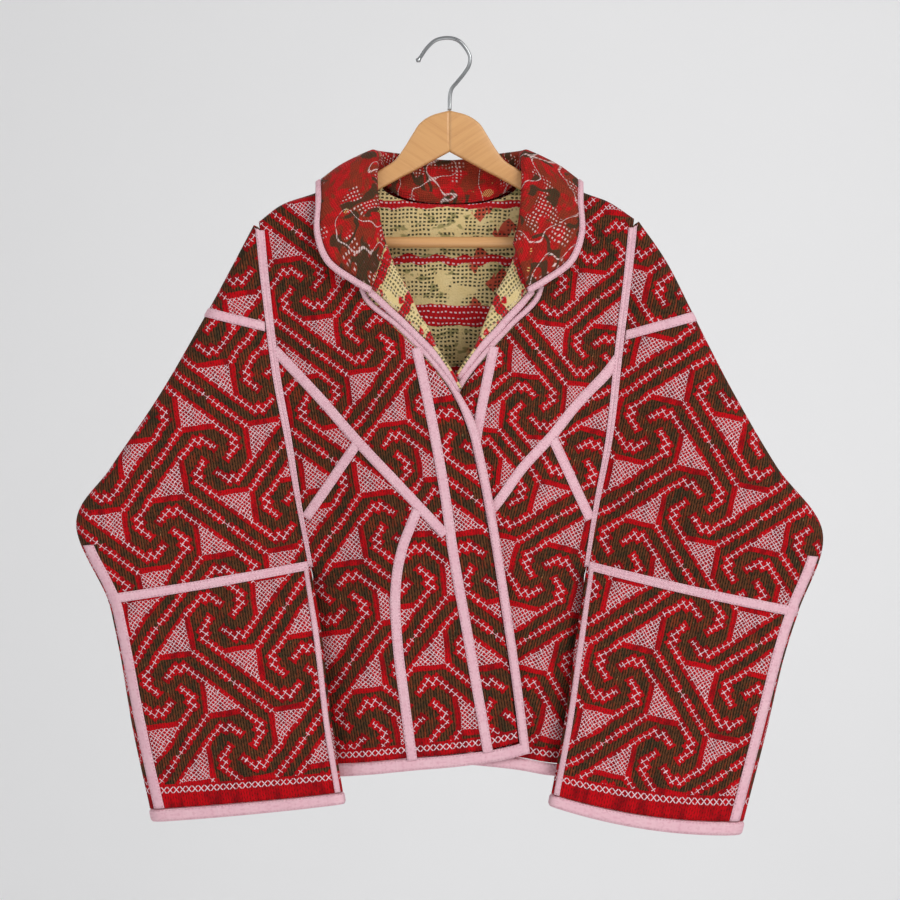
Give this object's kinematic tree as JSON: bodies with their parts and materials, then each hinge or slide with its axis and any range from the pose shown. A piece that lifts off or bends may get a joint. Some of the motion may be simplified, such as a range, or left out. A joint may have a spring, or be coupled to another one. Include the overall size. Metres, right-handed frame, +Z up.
{
  "type": "jacket on hanger",
  "caption": "A cropped jacket of thick patterned stitched cloth with pink bound edges, hanging open at the neck on a wooden hanger with a wire hook",
  "frame": {"origin": "the underside of the hook's bend, where a rail carries the hanger", "axes": "+Z up along the hang, +X to the wearer's left, -Y the way the wearer faces"},
  "size_m": [0.7507, 0.0906, 0.8017],
  "materials": {
    "cloth": "thick hand-stitched cotton with red, olive-brown and white stitch patterns",
    "reverse": "cream reverse of the cloth with dark stitch rows",
    "tape": "lilac-pink cotton tape, sewn flat",
    "wood": "satin varnished beech",
    "wire": "bright steel wire"
  },
  "bodies": {
    "root": {"front_yoke_right": "cloth", "front_side_right": "cloth", "front_lower_right": "cloth", "front_placket_right": "cloth", "binding_front_right": "tape", "binding_hem_right": "tape", "tape_placket_right": "tape", "tape_diagonal_right": "tape", "tape_branch_right": "tape", "front_yoke_left": "cloth", "front_side_left": "cloth", "front_lower_left": "cloth", "front_placket_left": "cloth", "binding_front_left": "tape", "binding_hem_left": "tape", "tape_placket_left": "tape", "tape_diagonal_left": "tape", "tape_branch_left": "tape", "front_centre_right": "cloth", "tape_curve_right": "tape", "back_panel": "cloth", "binding_hem_back": "tape", "sleeve_cap_right": "cloth", "sleeve_upper_right": "cloth", "sleeve_lower_front_right": "cloth", "sleeve_lower_back_right": "cloth", "sleeve_cap_left": "cloth", "sleeve_upper_left": "cloth", "sleeve_lower_front_left": "cloth", "sleeve_lower_back_left": "cloth", "tape_armhole_front_right": "tape", "tape_armhole_back_right": "tape", "tape_cap_right": "tape", "tape_elbow_front_right": "tape", "tape_elbow_back_right": "tape", "tape_outer_seam_right": "tape", "tape_underarm_right": "tape", "binding_cuff_right": "tape", "tape_side_right": "tape", "tape_armhole_front_left": "tape", "tape_armhole_back_left": "tape", "tape_cap_left": "tape", "tape_elbow_front_left": "tape", "tape_elbow_back_left": "tape", "tape_outer_seam_left": "tape", "tape_underarm_left": "tape", "binding_cuff_left": "tape", "tape_side_left": "tape", "collar": "cloth", "binding_collar": "tape", "lapel_right": "reverse", "binding_lapel_right": "tape", "lapel_left": "reverse", "binding_lapel_left": "tape", "hanger_arm_right": "wood", "hanger_arm_left": "wood", "hanger_bar": "wood", "hanger_hook": "wire"}
  },
  "joints": []
}
